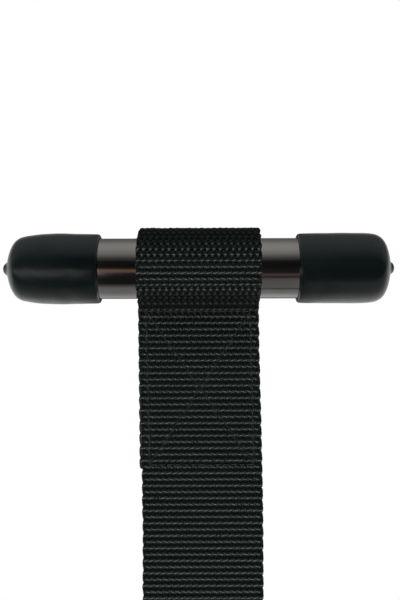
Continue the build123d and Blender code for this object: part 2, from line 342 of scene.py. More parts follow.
def throat(center_z, radius, up):
    """Where the doubled layers part round a bar: that height, and each throat's turn in degrees."""
    reach, spread = layer_y + throat_radius, radius + throat_radius
    return center_z - up * sqrt(spread**2 - reach**2), degrees(acos(reach / spread))


def follow(y, z, heading, runs):
    """The strap's centreline in side view, from (y, z), as (length, turn in degrees) runs.

    Returns its length, and a function of the distance along it that gives y, z and the direction
    out of the strap's outer face. Past its ends the line goes straight on."""
    step = 0.1 * mm
    ends = np.cumsum([0] + [length for length, turn in runs])
    turns = np.cumsum([0] + [turn for length, turn in runs])
    marks = np.arange(0, ends[-1] + step, step)
    angles = np.radians(heading + np.interp(marks, ends, turns))
    middles = (angles[1:] + angles[:-1]) / 2
    line_y = y + np.append(0, np.cumsum(np.cos(middles) * step))
    line_z = z + np.append(0, np.cumsum(np.sin(middles) * step))

    def at(distance):
        angle = np.interp(distance, marks, angles)
        past = distance - np.clip(distance, 0, marks[-1])
        here_y = np.interp(distance, marks, line_y) + np.cos(angle) * past
        here_z = np.interp(distance, marks, line_z) + np.sin(angle) * past
        return here_y, here_z, np.sin(angle), -np.cos(angle)

    return ends[-1], at


upper_throat_z, upper_turn = throat(loop_z, loop_radius, 1)
lower_throat_z, lower_turn = throat(ring_z, ring_loop_radius, -1)
upper_length, upper_line = follow(
    layer_y,
    upper_tail_z,
    90,
    [
        (upper_throat_z - upper_tail_z, 0),
        (throat_radius * radians(upper_turn), -upper_turn),
        (loop_radius * radians(180 + 2 * upper_turn), 180 + 2 * upper_turn),
        (throat_radius * radians(upper_turn), -upper_turn),
        (upper_throat_z - join_z, 0),
    ],
)
lower_length, lower_line = follow(
    -layer_y,
    join_z,
    -90,
    [
        (join_z - lower_throat_z, 0),
        (throat_radius * radians(lower_turn), -lower_turn),
        (ring_loop_radius * radians(180 + 2 * lower_turn), 180 + 2 * lower_turn),
        (throat_radius * radians(lower_turn), -lower_turn),
        (lower_tail_z - lower_throat_z, 0),
    ],
)


def upper_laid(distance):
    """The upper line, with the picks pressed together where the front layer leaves the loop."""
    front_throat = upper_length - (upper_throat_z - join_z)
    before, after, press = 5 * mm, 3 * mm, -0.4 * mm
    places = [front_throat - before, front_throat + after]
    return upper_line(distance + np.interp(distance, places, [press, 0]))


def settle(x, y, z):
    """Where a point x from the strap's middle really lies: the worn strap isn't quite straight.

    It wanders to +X and back on the way down, its upper tail lies a bit towards -X, the loop is
    pressed wider, and the loop's upper corner on the -X side is drawn in."""
    heights = np.array([-290, -190, -140, -108, -85, -60, -35, -15, -5]) * mm
    wander = np.interp(z, heights, np.array([0, 1.0, 1.5, 1.5, 1.2, 0.7, 0.1, -0.2, 0.1]) * mm)
    tail = np.clip((upper_throat_z - z) / (upper_throat_z - upper_tail_z), 0, 1)
    tail_shift = np.where((y > 0) & (z > upper_tail_z - 5 * mm), 1.0 * mm * tail, 0)
    spread = 1 + 0.01 * np.clip((z - upper_throat_z) / (8 * mm), 0, 1)
    corner = 0.9 * mm * np.exp((z - loop_z - loop_radius) / (3.5 * mm))
    drawn_in = corner * np.clip(-x / (25 * mm), 0, 1) ** 6
    return x * spread + wander - tail_shift + drawn_in


def box_lines(top, bottom, half):
    """The four sides and two diagonals of a stitched box, as ((x, z), (x, z)) lines."""
    corners = [(-half, top), (half, top), (half, bottom), (-half, bottom)]
    sides = list(zip(corners, corners[1:] + corners[:1]))
    return sides + [(corners[0], corners[2]), (corners[1], corners[3])]


upper_box = box_lines(-18.0 * mm, -82.2 * mm, 21.8 * mm)
lower_box = box_lines(-251.5 * mm, -290.5 * mm, 21.8 * mm)


def pulled(x, z):
    """How hard the stitching draws the weave in at (x, z), from 0 to 1."""
    reach = 0.9 * mm
    pull = np.zeros(np.broadcast(x, z).shape)
    for (x1, z1), (x2, z2) in upper_box + lower_box:
        length = hypot(x2 - x1, z2 - z1)
        ux, uz = (x2 - x1) / length, (z2 - z1) / length
        run = np.clip((x - x1) * ux + (z - z1) * uz, 0, length)
        gap = np.hypot(x - x1 - run * ux, z - z1 - run * uz)
        pull = np.maximum(pull, np.exp(-((gap / reach) ** 2)))
    return pull


def tubes(name, points, cloth, material):
    """One mesh of closed tubes. points is (tube, ring, side, xyz), cloth the same for the weave."""
    count, rings, sides, _ = points.shape
    index = np.arange(count * rings * sides).reshape(count, rings, sides)
    around = np.roll(index, -1, axis=2)
    walls = np.stack([index[:, :-1], around[:, :-1], around[:, 1:], index[:, 1:]], axis=-1)
    faces = walls.reshape(-1, 4).tolist()
    faces += index[:, 0, ::-1].tolist() + index[:, -1].tolist()
    mesh = bpy.data.meshes.new(name)
    mesh.from_pydata(points.reshape(-1, 3), [], faces)
    marks = mesh.attributes.new("cloth", "FLOAT_VECTOR", "POINT")
    marks.data.foreach_set("vector", cloth.reshape(-1).astype(np.float32))
    piece = bpy.data.objects.new(name, mesh)
    bpy.context.collection.objects.link(piece)
    piece.data.materials.append(material)
    bpy.ops.object.select_all(action="DESELECT")
    bpy.context.view_layer.objects.active = piece
    piece.select_set(True)
    bpy.ops.object.shade_smooth_by_angle(angle=radians(60))
    return piece


def bent(line, x, distance, height):
    """Points of the flat weave laid along the strap's line."""
    y, z, out_y, out_z = line(distance)
    y, z = y + out_y * height, z + out_z * height
    return np.stack([settle(x, y, z), y, z], axis=-1)


def flat(x, along, height):
    """The same points in the flat weave, for the yarn's material."""
    shape = np.broadcast(x, along, height).shape
    return np.stack([np.broadcast_to(part, shape) for part in (x, along, height)], axis=-1)


yarn_section = np.array(
    [(1, 0), (0.87, 0.8), (0, 1), (-0.87, 0.8), (-1, 0), (-0.87, -0.8), (0, -1), (0.87, -0.8)]
)


def warp(line, ends, first, last, start):
    """Lengthwise ends from pick first to pick last. start is pick 0's distance on the line.

    Each end swells over a pick, dives between two and swells again on the other face. The picks
    beside the join are even, so that the two lengths meet exactly."""
    crown_lift, dive_sway, loose_sway, yarn_lean = 0.62 * mm, 0.12 * mm, 0.035 * mm, 0.22
    picks = np.arange(np.floor(first) - 1, last + 2)
    marks = (picks[:, None] + [0, 0.31, 0.5, 0.69]).ravel()
    rise = ((-1.0) ** picks[:, None] * [1, 0.78, 0, -0.78]).ravel()
    over = rise * (-1.0) ** ends[:, None]
    dive = np.roll(over, 1, axis=1) - np.roll(over, -1, axis=1)
    kept = (marks >= first) & (marks <= last)
    marks, over, dive = marks[kept], over[:, kept], dive[:, kept]
    beside_join = (picks == 0) | (picks == 1)
    uneven = [
        np.array([np.interp(marks, picks, row) for row in values])
        for values in random.normal(0, 1, (4, len(ends), len(picks))) * ~beside_join
    ]
    along = np.broadcast_to(start + marks * pick_pitch, over.shape)
    place = np.broadcast_to(ends[:, None] * end_pitch, over.shape)
    flat_y, flat_z, _, _ = line(along)
    sewn_x = settle(place, flat_y, flat_z) - settle(0, -layer_y, flat_z)
    pull = pulled(sewn_x, flat_z)
    crown = np.abs(over)
    lift = over * crown_lift * (1 + 0.05 * uneven[0]) * (1 - 0.5 * pull)
    half_width = (0.8 + (0.17 + 0.05 * uneven[1]) * crown - 0.2 * pull * crown) * mm
    half_height = (0.3 + (0.2 + 0.02 * uneven[2]) * crown) * mm
    sway = dive_sway * dive * (-1.0) ** ends[:, None] + loose_sway * uneven[3] * (1 + 2 * pull)
    beside = yarn_section[:, 0] * half_width[..., None]
    x = (place + sway)[..., None] + beside
    height = lift[..., None] + yarn_section[:, 1] * half_height[..., None]
    lean = along[..., None] + yarn_lean * beside * (-1.0) ** ends[:, None, None]
    return bent(line, x, lean, height), flat(x, lean, height)


def weft(line, picks, start):
    """The crosswise picks, waving the other way, with their turns at the two edges.

    They are marked as lying low in the weave, where the yarn is dull and its base colour is darkened
    as painted shade."""
    wave, half_width, half_height, turn_taper, low = 0.3 * mm, 0.9 * mm, 0.42 * mm, 0.45, 0.2
    steps = np.arange(-2 * side_ends - 1, 2 * side_ends + 2)
    edge = np.abs(steps) == steps.max()
    over = -np.cos(pi * steps / 2 + pi * picks[:, None]) * wave * ~edge
    taper = np.where(edge, turn_taper, 1.0)
    turns = np.radians([30, 90, 150, 210, 270, 330])
    side_s = np.cos(turns) * (half_width * taper)[:, None]
    along = (start + picks * pick_pitch)[:, None, None] - side_s
    height = over[..., None] + np.sin(turns) * (half_height * taper)[:, None]
    across = np.broadcast_to((steps * end_pitch / 2)[:, None], height.shape)
    return bent(line, across, along, height), flat(across, along, low * height)


def sealed_end(line, distance):
    """The cut end of the webbing, melted into a lumpy bead so that it can't fray."""
    steps = np.arange(-38, 39)
    lumps = random.normal(0, 1, (2, 1, len(steps)))
    turns = np.radians(np.arange(0, 360, 45))
    swell = np.where(np.abs(steps) == 38, 0.5, 1) * mm
    side_s = np.cos(turns) * (swell * (0.75 + 0.08 * lumps[0]))[..., None]
    height = np.sin(turns) * (swell * (0.9 + 0.06 * lumps[1]))[..., None]
    across = np.broadcast_to((steps * 0.66 * mm)[:, None], height.shape)
    along = distance - side_s
    return bent(line, across, along, height), flat(across, along, height)


webbing = Finish("black_webbing")
cloth = webbing.node("Attribute", {"attribute_name": "cloth"}, output="Vector")
strands = webbing.node(
    "Mapping", {}, {"Vector": cloth, "Scale": (5200, 900, 0), "Rotation": (0, 0, 0.3)}
)
fibre = webbing.node("TexNoise", {}, {"Vector": strands, "Scale": 1.0, "Detail": 3.0})
dust = webbing.noise(350)
height = webbing.node("SeparateXYZ", {}, {"Vector": cloth}, output="Z")
# Painted shade: crown is the yarn's height in the weave. In the base colour it darkens the hollows
# between crowns and lightens the crowns. It also sets the gloss.
crown = (height / (1.1 * mm)) ** 2.0
# Painted shade: the base colour is darkened in a band at the upper throat, where the doubled layers
# part round the bar. The band is also made rougher.
level = webbing.node("SeparateXYZ", {}, {"Vector": webbing.place()}, output="Z")
from_throat = (level - upper_throat_z - 3 * mm) / (4 * mm)
inside_throat = webbing.node("Math", {"operation": "COMPARE"}, {0: from_throat, 1: 0.0, 2: 1.0})
# The yarn's colour: random fibre and dust tone, with the painted shade of the hollows and of the
# throat.
yarn_tone = webbing.ramp(
    crown * 0.6 + fibre * 0.3 + dust * 0.2 - inside_throat * 0.6,
    (0.2, (0.0001, 0.0004, 0.0003)),
    (0.9, (0.0016, 0.0032, 0.0027)),
)
yarn_normal = webbing.bump(fibre, 0.08 * mm, 0.35)
black_webbing = webbing.shader(
    Base_Color=yarn_tone,
    Roughness=0.55 + (fibre - 0.5) * 0.35 - crown * 0.28 + inside_throat * 0.2,
    Normal=yarn_normal,
    Specular_IOR_Level=0.09,
    Specular_Tint=(0.93, 1, 0.97, 1),
)


def weave(name, line, first, last, start, tail, nodes):
    """Both sets of yarn of one length of webbing, bent across its fold, and its sealed tail."""
    ends = np.arange(-side_ends, side_ends + 1)
    made = {
        "even_ends": warp(line, ends[::2], first, last, start),
        "odd_ends": warp(line, ends[1::2], first, last, start),
        "picks": weft(line, np.arange(np.ceil(first + 0.5), last), start),
        "sealed_end": sealed_end(line, tail),
    }
    pieces = []
    for part, (points, marks) in made.items():
        piece = tubes(f"{name}_{part}", points, marks, black_webbing)
        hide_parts(*nodes)
        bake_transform(piece)
        pieces.append(piece)
    return pieces


upper_start = upper_length - pick_pitch / 2
lower_start = -pick_pitch / 2
upper_picks = int(upper_start / pick_pitch)
lower_picks = int((lower_length - lower_start) / pick_pitch)
cloth_pieces = weave(
    "webbing_upper",
    upper_laid,
    first=-upper_picks,
    last=0.5,
    start=upper_start,
    tail=upper_start - upper_picks * pick_pitch,
    nodes=["strap_upper", "strap_middle"],
)
cloth_pieces += weave(
    "webbing_lower",
    lower_line,
    first=0.5,
    last=lower_picks,
    start=lower_start,
    tail=lower_start + lower_picks * pick_pitch,
    nodes=["strap_lower"],
)

# ---------------------------------------------------------------- box stitches
# Each loop is closed by a machine-sewn box with a cross in it, in black bonded polyester thread.
# Every stitch shows on both faces and dips into the weave at its ends. Loose fibres stand along it.
thread_radius = 0.24 * mm
stitch_pitch = 3.3 * mm
stitch_length = 3.0 * mm
thread = Finish("black_thread")
ply = thread.node("Attribute", {"attribute_name": "cloth"}, output="Vector")
ply_lines = thread.node(
    "Mapping", {}, {"Vector": ply, "Scale": (3500, 700, 3500), "Rotation": (0, 0, 0.5)}
)
twist = thread.node("TexNoise", {}, {"Vector": ply_lines, "Scale": 1.0, "Detail": 2.0})
black_thread = thread.shader(
    Base_Color=thread.ramp(
        twist, (0.3, (0.001, 0.002, 0.002)), (0.7, (0.006, 0.008, 0.007))
    ),
    Roughness=0.45 + (twist - 0.5) * 0.3,
    Normal=thread.bump(twist, 0.06 * mm, 0.6),
    Specular_IOR_Level=0.09,
)


def sew(name, lines, body, node):
    """The stitches of one box and the loose fibres along them."""
    steps = np.array([-0.52, -0.4, 0, 0.4, 0.52])
    depths = np.array([0.25, 0.75, 1.0, 0.75, 0.25]) * mm
    girth = np.array([0.7, 1, 1, 1, 0.7]) * thread_radius
    turns = np.radians(np.arange(0, 360, 60))
    made, strays = [], []
    for (x1, z1), (x2, z2) in lines:
        length = hypot(x2 - x1, z2 - z1)
        ux, uz = (x2 - x1) / length, (z2 - z1) / length
        count = round(length / stitch_pitch)
        for face in (-1, 1):
            for number in range(count):
                middle = (number + 0.5) / count * length
                wobble, askew = random.normal(0, 1, 2) * (0.1 * mm, 0.12)
                run = middle + steps * stitch_length
                side = wobble + askew * steps * mm
                x = x1 + ux * run - uz * side
                z = z1 + uz * run + ux * side
                across = np.cos(turns) * girth[:, None]
                out = depths[:, None] + np.sin(turns) * girth[:, None]
                px = x[:, None] - uz * across * face
                pz = z[:, None] + ux * across * face
                y = np.broadcast_to(face * (layer_y + out), px.shape)
                made.append(np.stack([settle(px, -layer_y, pz), y, pz], axis=-1))
            for _ in range(count):
                run, off = random.uniform(0, length), random.normal(0, 0.6 * mm)
                heading, bow = random.uniform(0, 2 * pi), random.uniform(-1, 1)
                bits = np.linspace(0, 1, 4)
                reach = random.uniform(0.8, 2.2) * mm * bits
                hx = x1 + ux * run - uz * off + np.cos(heading + bow * bits) * reach
                hz = z1 + uz * run + ux * off + np.sin(heading + bow * bits) * reach
                rise = (0.9 + 0.9 * np.sin(bits * pi * 0.8)) * mm
                spokes = np.radians([0, 120, 240])
                px = hx[:, None] + np.cos(spokes) * 0.05 * mm
                y = face * (layer_y + rise[:, None] + np.sin(spokes) * 0.05 * mm)
                pz = np.broadcast_to(hz[:, None], px.shape) + np.sin(spokes) * 0.04 * mm
                strays.append(np.stack([settle(px, -layer_y, pz), y, pz], axis=-1))
    for part, points in (("thread", made), ("fibres", strays)):
        points = np.array(points)
        piece = tubes(f"{name}_{part}", points, points, black_thread)
        edit()
        bpy.ops.mesh.normals_make_consistent(inside=False)
        bpy.ops.object.mode_set(mode="OBJECT")
        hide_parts(node)
        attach(piece, body)
        cloth_pieces.append(piece)


sew("upper_box", upper_box, "strap_top", "upper_box_stitch")
sew("lower_box", lower_box, "strap_hang", "lower_box_stitch")

# ---------------------------------------------------------------- D-ring
# Round steel wire bent to a D and butt-welded in the middle of its straight side, then nickel
# plated. The straight side turns in the strap's lower loop and the block's eye rides on the bow.
bright_nickel = plating(
    "bright_nickel", (0.64, 0.61, 0.56), (0.50, 0.48, 0.45), 0.2, (1, 1, 0.3)
)
ring_wire = (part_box("d_ring")[1].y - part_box("d_ring")[0].y) / 2
ring_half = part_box("d_ring")[1].x - ring_wire
corner_radius = 4 * mm
corner_x, corner_z = ring_half - corner_radius, ring_z - corner_radius
bpy.ops.object.select_all(action="DESELECT")
bpy.ops.mesh.primitive_circle_add(
    vertices=24, radius=ring_wire, location=(0, 0, ring_z), rotation=(0, pi / 2, 0)
)
ring = bpy.context.object
ring.name = ring.data.name = "wire_d_ring"
bpy.ops.object.transform_apply(location=True, rotation=True, scale=True)
edit()
# The weld is a low collar in the middle of the straight side.
for step, scale in ((0.5, 1.07), (0.7, 1 / 1.07), (corner_x / mm - 1.2, 1)):
    bpy.ops.mesh.extrude_edges_move(TRANSFORM_OT_translate={"value": (step * mm, 0, 0)})
    bpy.ops.transform.resize(value=(1, scale, scale))
for turn, steps, center in (
    (pi / 2, 8, (corner_x, 0, corner_z)),
    (pi, 56, (0, 0, corner_z)),
    (pi / 2, 8, (-corner_x, 0, corner_z)),
):
    bpy.ops.mesh.spin(steps=steps, angle=turn, center=center, axis=(0, -1, 0))
bpy.ops.mesh.extrude_edges_move(TRANSFORM_OT_translate={"value": (corner_x, 0, 0)})
bpy.ops.mesh.select_all(action="SELECT")
bpy.ops.mesh.remove_doubles(threshold=0.01 * mm)
bpy.ops.mesh.normals_make_consistent(inside=False)
bpy.ops.object.mode_set(mode="OBJECT")
finish_piece(ring, bright_nickel, "ring", "nickel_steel", "d_ring", round_levels=1, sharp=80)

# ---------------------------------------------------------------- swivel eye
# A drop-forged eye that rides on the ring's bow. Its collared stem turns in the yoke's bridge and
# is riveted over on a zinc plated washer below.
eye_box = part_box("swivel_eye")
eye_outer = eye_box[1].y
eye_wire = 2.25 * mm
eye_z = eye_box[1].z - eye_outer
washer_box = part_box("swivel_washer")
yoke_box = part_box("yoke")
collar_top = eye_z - eye_outer - 2.1 * mm
stem_radius = 3 * mm
eye_stem = lathe(
    "eye_stem",
    "Z",
    (0, 0, 0),
    [
        (eye_z - eye_outer + 3.2 * mm, 2.4 * mm),
        (eye_z - eye_outer + 1.5 * mm, 3.4 * mm),
        (collar_top + 0.8 * mm, 3.5 * mm),
        (collar_top, 4.3 * mm),
        (collar_top - 0.15 * mm, 5.7 * mm),
        (collar_top - 0.5 * mm, 6 * mm),
        (collar_top - 1.8 * mm, 6 * mm),
        (collar_top - 2.2 * mm, 5.7 * mm),
        (collar_top - 2.2 * mm, stem_radius),
        (washer_box[0].z, stem_radius),
        (washer_box[0].z, 4.6 * mm),
        (washer_box[0].z - 0.7 * mm, 4.6 * mm),
        (eye_box[0].z + 0.7 * mm, 3.6 * mm),
        (eye_box[0].z + 0.15 * mm, 2.2 * mm),
        (eye_box[0].z, 0.8 * mm),
    ],
    sides=48,
)
bpy.ops.object.select_all(action="DESELECT")
bpy.ops.mesh.primitive_torus_add(
    major_segments=64,
    minor_segments=20,
    major_radius=eye_outer - eye_wire,
    minor_radius=eye_wire,
    location=(0, 0, eye_z),
    rotation=(0, pi / 2, 0),
)
eye = bpy.context.object
eye.name = eye.data.name = "forged_eye"
bpy.ops.object.transform_apply(location=True, rotation=True, scale=True)
eye_stem.select_set(True)
bpy.ops.object.join()
forging = eye.modifiers.new("Forging", "REMESH")
forging.mode, forging.voxel_size = "VOXEL", 0.2 * mm
bpy.ops.object.modifier_apply(modifier="Forging")
tumbled = eye.modifiers.new("Tumbled", "SMOOTH")
tumbled.factor, tumbled.iterations = 0.5, 5
bpy.ops.object.modifier_apply(modifier="Tumbled")
finish_piece(eye, bright_nickel, "eye", "nickel_steel", "swivel_eye", sharp=60)

zinc_plate = plating("zinc_plate", (0.56, 0.575, 0.60), (0.40, 0.41, 0.43), 0.34, (1, 1, 1))


def ring_washer(name, axis, place, low, high, bore, radius, material, body, slot, node):
    """A flat washer with its two faces at low and high along the axis."""
    stations = [(low, bore), (high, bore), (high, radius), (low, radius), (low, bore)]
    piece = lathe(name, axis, place, stations, hollow=True, sides=72)
    finish_piece(piece, material, body, slot, node, bevel=min(0.2 * mm, (high - low) * 0.3))


ring_washer(
    "stem_washer", "Z", (0, 0, 0), washer_box[0].z, washer_box[1].z, stem_radius,
    washer_box[1].x, zinc_plate, "eye", "zinc_steel", "swivel_washer",
)

# ---------------------------------------------------------------- yoke and cheeks
# The yoke is a steel strip bent to an upside-down U, with the stem's hole in its bridge. Two
# stamped cheeks stand inside its arms and keep the rope on the wheel. All are nickel plated.
stamped_nickel = plating(
    "stamped_nickel", (0.60, 0.58, 0.54), (0.44, 0.425, 0.40), 0.27, (1, 1, 0.05)
)


def eased(node, name, material, body, slot, bevel):
    """A copy of a CAD piece with its triangles merged into whole faces and its edges eased."""
    bpy.ops.object.select_all(action="DESELECT")
    piece = bpy.data.objects.new(name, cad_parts[node].data.copy())
    bpy.context.collection.objects.link(piece)
    bpy.context.view_layer.objects.active = piece
    piece.select_set(True)
    bpy.ops.mesh.customdata_custom_splitnormals_clear()
    edit()
    bpy.ops.mesh.remove_doubles(threshold=0.003 * mm)
    bpy.ops.mesh.dissolve_limited(angle_limit=radians(0.5))
    bpy.ops.object.mode_set(mode="OBJECT")
    finish_piece(piece, material, body, slot, node, bevel=bevel)


eased("yoke", "bent_yoke", stamped_nickel, "block", "nickel_steel", 0.35 * mm)
eased("cheek_front", "stamped_cheek_front", stamped_nickel, "block", "nickel_steel", 0.25 * mm)
eased("cheek_rear", "stamped_cheek_rear", stamped_nickel, "block", "nickel_steel", 0.25 * mm)

# ---------------------------------------------------------------- spacers
# Two sleeves hold the cheeks apart above the wheel. A steel rivet through each one is closed over
# the outside of the cheeks.
sleeve_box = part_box("spacer_sleeves")
rivet_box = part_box("spacer_rivets")
sleeve_radius = (sleeve_box[1].z - sleeve_box[0].z) / 2
spacer_x = sleeve_box[1].x - sleeve_radius
spacer_z = (sleeve_box[0].z + sleeve_box[1].z) / 2
rivet_shank = 1.5 * mm
cheek_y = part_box("cheek_rear")[1].y
for side, hand in ((-1, "left"), (1, "right")):
    place = (side * spacer_x, 0, spacer_z)
    ring_washer(
        f"spacer_sleeve_{hand}", "Y", place, sleeve_box[0].y, sleeve_box[1].y, rivet_shank,
        sleeve_radius, zinc_plate, "block", "zinc_steel", "spacer_sleeves",
    )
    head = [
        (rivet_box[1].y, 0.5 * mm),
        (rivet_box[1].y - 0.12 * mm, 1.2 * mm),
        (rivet_box[1].y - 0.5 * mm, 1.95 * mm),
        (cheek_y + 0.45 * mm, 2.4 * mm),
        (cheek_y, 2.5 * mm),
        (cheek_y, rivet_shank),
    ]
    outline = head + [(-y, r) for y, r in reversed(head)]
    rivet = lathe(f"spacer_rivet_{hand}", "Y", place, outline, sides=40)
    finish_piece(rivet, zinc_plate, "block", "zinc_steel", "spacer_rivets", sharp=50)

# ---------------------------------------------------------------- axle bolt
# A zinc plated M6 hexagon bolt goes through the yoke's arms, the cheeks and the wheel. A spring
# washer and a nut hold it behind.
bolt_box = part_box("axle_bolt")
nut_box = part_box("axle_nut")
lock_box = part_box("axle_lock_washer")
axle_z = (lock_box[0].z + lock_box[1].z) / 2
axle = (0, 0, axle_z)
bolt_radius = 3 * mm
flat_radius = 5 * mm
corner_out = flat_radius / cos(radians(30))


def hexagon(name, low, high, chamfer_low, chamfer_high):
    """A hexagon from low to high along Y, its corners turned down to a cone where it's chamfered."""
    prism = lathe(name, "Y", axle, [(low, corner_out), (high, corner_out)], sides=6)
    cut = 0.55 * mm
    blank = lathe(
        "turned_blank",
        "Y",
        axle,
        [
            (low - 0.01 * mm, flat_radius - 0.1 * mm if chamfer_low else corner_out * 1.1),
            (low + cut, corner_out * 1.02 if chamfer_low else corner_out * 1.1),
            (high - cut, corner_out * 1.02 if chamfer_high else corner_out * 1.1),
            (high + 0.01 * mm, flat_radius - 0.1 * mm if chamfer_high else corner_out * 1.1),
        ],
        sides=96,
    )
    bpy.ops.object.select_all(action="DESELECT")
    bpy.context.view_layer.objects.active = prism
    prism.select_set(True)
    turned = prism.modifiers.new("Turned", "BOOLEAN")
    turned.operation, turned.object, turned.solver = "INTERSECT", blank, "EXACT"
    bpy.ops.object.modifier_apply(modifier="Turned")
    bpy.data.objects.remove(blank)
    return prism


head = hexagon("bolt_head", bolt_box[0].y, -yoke_box[1].y, True, False)
thread_top = nut_box[1].y + 0.1 * mm
threads = [
    (thread_top + (0.15 + 0.25 * number) * mm, bolt_radius - (0.32 * mm if number % 2 else 0))
    for number in range(5)
]
shank = lathe(
    "bolt_shank",
    "Y",
    axle,
    [(-yoke_box[1].y - 0.5 * mm, bolt_radius), (thread_top, bolt_radius)]
    + threads
    + [(bolt_box[1].y, bolt_radius - 0.5 * mm)],
    sides=48,
)
bpy.ops.object.select_all(action="DESELECT")
shank.select_set(True)
head.select_set(True)
bpy.context.view_layer.objects.active = head
bpy.ops.object.join()
head.name = head.data.name = "hexagon_bolt"
finish_piece(head, zinc_plate, "block", "zinc_steel", "axle_bolt", bevel=0.08 * mm)

nut = hexagon("hexagon_nut", nut_box[0].y, nut_box[1].y, False, True)
bore = lathe(
    "nut_bore",
    "Y",
    axle,
    [
        (nut_box[0].y - 1 * mm, bolt_radius),
        (nut_box[1].y - 0.4 * mm, bolt_radius),
        (nut_box[1].y + 0.1 * mm, bolt_radius + 0.5 * mm),
    ],
    sides=64,
)
bpy.ops.object.select_all(action="DESELECT")
bpy.context.view_layer.objects.active = nut
nut.select_set(True)
bored = nut.modifiers.new("Bored", "BOOLEAN")
bored.operation, bored.object, bored.solver = "DIFFERENCE", bore, "EXACT"
bpy.ops.object.modifier_apply(modifier="Bored")
bpy.data.objects.remove(bore)
finish_piece(nut, zinc_plate, "block", "zinc_steel", "axle_nut", bevel=0.08 * mm)
eased("axle_lock_washer", "spring_washer", zinc_plate, "block", "zinc_steel", 0.12 * mm)

# ---------------------------------------------------------------- wheel
# A moulded black nylon wheel with a round rope groove and a sintered bronze bush pressed in it.
# White acetal washers keep it off the cheeks.
acetal = Finish("white_acetal")
acetal_cloud = acetal.noise(120)
white_acetal = acetal.shader(
    Base_Color=acetal.ramp(acetal_cloud, (0.3, (0.70, 0.69, 0.64)), (0.7, (0.80, 0.79, 0.75))),
    Roughness=0.42 + (acetal_cloud - 0.5) * 0.2,
    Normal=acetal.bump(acetal.noise(2500), 0.02 * mm, 0.3),
)
for node, name in (("thrust_washer_front", "front"), ("thrust_washer_rear", "rear")):
    low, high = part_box(node)
    ring_washer(
        f"acetal_washer_{name}", "Y", axle, low.y, high.y, bolt_radius, high.x,
        white_acetal, "block", "white_acetal", node,
    )

nylon = Finish("moulded_nylon")
nylon_grain = nylon.noise(1800, detail=2.0)
nylon_cloud = nylon.noise(70)
moulded_nylon = nylon.shader(
    Base_Color=nylon.ramp(
        nylon_cloud * 0.7 + nylon_grain * 0.3,
        (0.35, (0.010, 0.010, 0.011)),
        (0.65, (0.024, 0.024, 0.025)),
    ),
    Roughness=0.42 + (nylon_cloud - 0.5) * 0.25 + (nylon_grain - 0.5) * 0.15,
    Normal=nylon.bump(nylon_grain, 0.03 * mm, 0.5),
)
wheel_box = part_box("sheave")
wheel_radius, wheel_half = wheel_box[1].x, wheel_box[1].y
groove_radius, groove_mouth = 3.4 * mm, 4.3 * mm
groove_middle = wheel_radius - 1.1 * mm
bush_radius = 5 * mm
half_outline = [
    (0, bush_radius),
    (wheel_half, bush_radius),
    (wheel_half, 8.5 * mm),
    (wheel_half - 1.5 * mm, 9 * mm),
    (wheel_half - 1.5 * mm, 13 * mm),
    (wheel_half, 13.5 * mm),
    (wheel_half, wheel_radius - 0.5 * mm),
    (wheel_half - 0.15 * mm, wheel_radius - 0.15 * mm),
    (wheel_half - 0.5 * mm, wheel_radius),
    (groove_mouth, wheel_radius),
    (groove_mouth - 0.5 * mm, wheel_radius - 0.35 * mm),
]
for turn in range(80, -1, -10):
    half_outline.append(
        (
            groove_radius * sin(radians(turn)),
            groove_middle - groove_radius * cos(radians(turn)),
        )
    )
wheel_outline = half_outline + [(-y, r) for y, r in reversed(half_outline[:-1])]
wheel = lathe("nylon_wheel", "Y", axle, wheel_outline, hollow=True, sides=128)
finish_piece(wheel, moulded_nylon, "wheel", "black_nylon", "sheave", bevel=0.2 * mm)

bronze = Finish("sintered_bronze")
pores = bronze.noise(3000, detail=1.0)
oil = bronze.noise(150)
sintered_bronze = bronze.shader(
    Base_Color=bronze.ramp(
        oil * 0.6 + pores * 0.4, (0.35, (0.28, 0.17, 0.08)), (0.65, (0.47, 0.30, 0.15))
    ),
    Metallic=1.0,
    Roughness=0.35 + (pores - 0.5) * 0.4,
    Normal=bronze.bump(pores, 0.02 * mm, 0.6),
)
ring_washer(
    "bronze_bush", "Y", axle, -wheel_half, wheel_half, bolt_radius + 0.05 * mm, bush_radius,
    sintered_bronze, "wheel", "bronze", "sheave_bush",
)

# ---------------------------------------------------------------- floor, light and camera
# A pale round floor stands well below. The light is a white room and two soft strips, which light
# only the cloth. What the shiny parts mirror is a tent of grey bands round the bar's line, which
# only reflections see.
floor_finish = Finish("pale_floor")
floor_grain = floor_finish.noise(30)
pale_floor = floor_finish.shader(
    Base_Color=floor_finish.ramp(floor_grain, (0.3, 0.79), (0.7, 0.82)), Roughness=0.7
)
floor = lathe(
    "floor", "Z", (0, 0, -0.46), [(-0.01, 0.78), (-0.002, 0.8), (0, 0.79)], sides=96
)
floor.data.materials.append(pale_floor)

floor.visible_glossy = False

# The tent glows only on its inside, so what hangs below it mirrors its bands: painted reflections
# that stand in for the room.
tent = lathe("light_tent", "X", (0, 0, 0), [(-0.9, 0.36), (0.9, 0.36)], sides=96)
tent_light = Finish("tent_light")
spot = tent_light.node("TexCoord", output="Object")
tent_x = tent_light.node("SeparateXYZ", {}, {"Vector": spot}, output="X")
tent_y = tent_light.node("SeparateXYZ", {}, {"Vector": spot}, output="Y")
tent_z = tent_light.node("SeparateXYZ", {}, {"Vector": spot}, output="Z")
rise = tent_light.node("Math", {"operation": "ARCTAN2"}, {0: tent_z, 1: 0 - tent_y})
turn = rise / (2 * pi) + 0.5


def bands(*steps):
    """A ramp of (degrees above the front, brightness or colour)."""
    return tent_light.ramp(turn, *[(degree / 360 + 0.5, level) for degree, level in steps])
